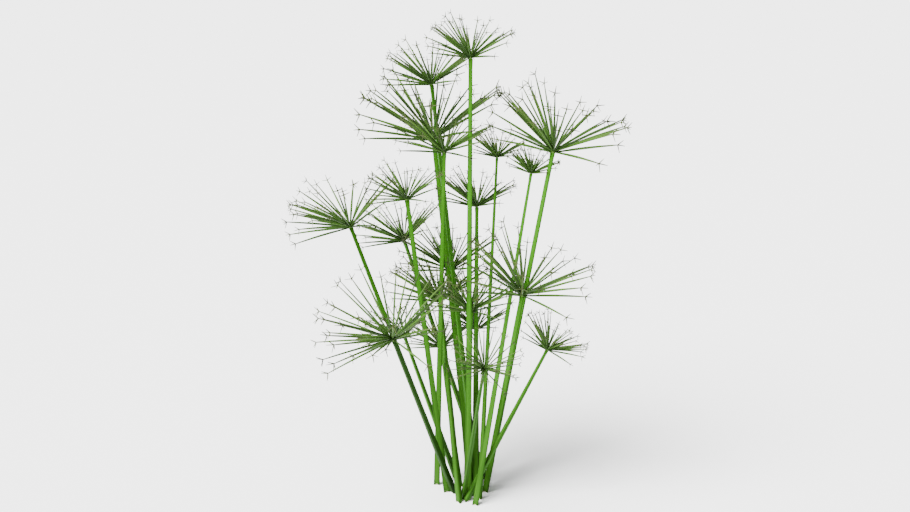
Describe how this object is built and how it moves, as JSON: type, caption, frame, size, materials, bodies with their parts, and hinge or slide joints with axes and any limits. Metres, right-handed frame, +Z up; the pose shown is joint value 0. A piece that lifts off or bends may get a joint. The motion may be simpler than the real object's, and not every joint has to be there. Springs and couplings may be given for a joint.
{
  "type": "dwarf papyrus",
  "caption": "Clump of dwarf papyrus: bare three-sided green stems, each topped by an umbel of narrow green rays with forked straw-coloured tips, cut off flat at the ground.",
  "frame": {"origin": "in the cut foot of culm_01, the tallest stem, on the ground that the clump stands on", "axes": "+Z up, -Y towards the side that the picture shows, +X to its right"},
  "size_m": [0.4107, 0.3315, 0.6028],
  "materials": {
    "culm": "fresh green stem, satin, with fine lengthwise streaks",
    "umbel": "green rays, satin, turning olive and straw-coloured at their tips"
  },
  "bodies": {
    "root": {"culm_01": "culm", "culm_02": "culm", "culm_03": "culm", "culm_04": "culm", "culm_05": "culm", "culm_06": "culm", "culm_07": "culm", "culm_08": "culm", "culm_09": "culm", "culm_10": "culm", "culm_11": "culm", "culm_12": "culm", "culm_13": "culm", "culm_14": "culm", "culm_15": "culm", "culm_16": "culm", "culm_17": "culm", "culm_18": "culm", "culm_19": "culm", "culm_20": "culm", "culm_21": "culm", "umbel_01": "umbel", "umbel_02": "umbel", "umbel_03": "umbel", "umbel_04": "umbel", "umbel_05": "umbel", "umbel_06": "umbel", "umbel_07": "umbel", "umbel_08": "umbel", "umbel_09": "umbel", "umbel_10": "umbel", "umbel_11": "umbel", "umbel_12": "umbel", "umbel_13": "umbel", "umbel_14": "umbel", "umbel_15": "umbel", "umbel_16": "umbel", "umbel_17": "umbel", "umbel_18": "umbel", "umbel_19": "umbel", "umbel_20": "umbel", "umbel_21": "umbel"}
  },
  "joints": []
}
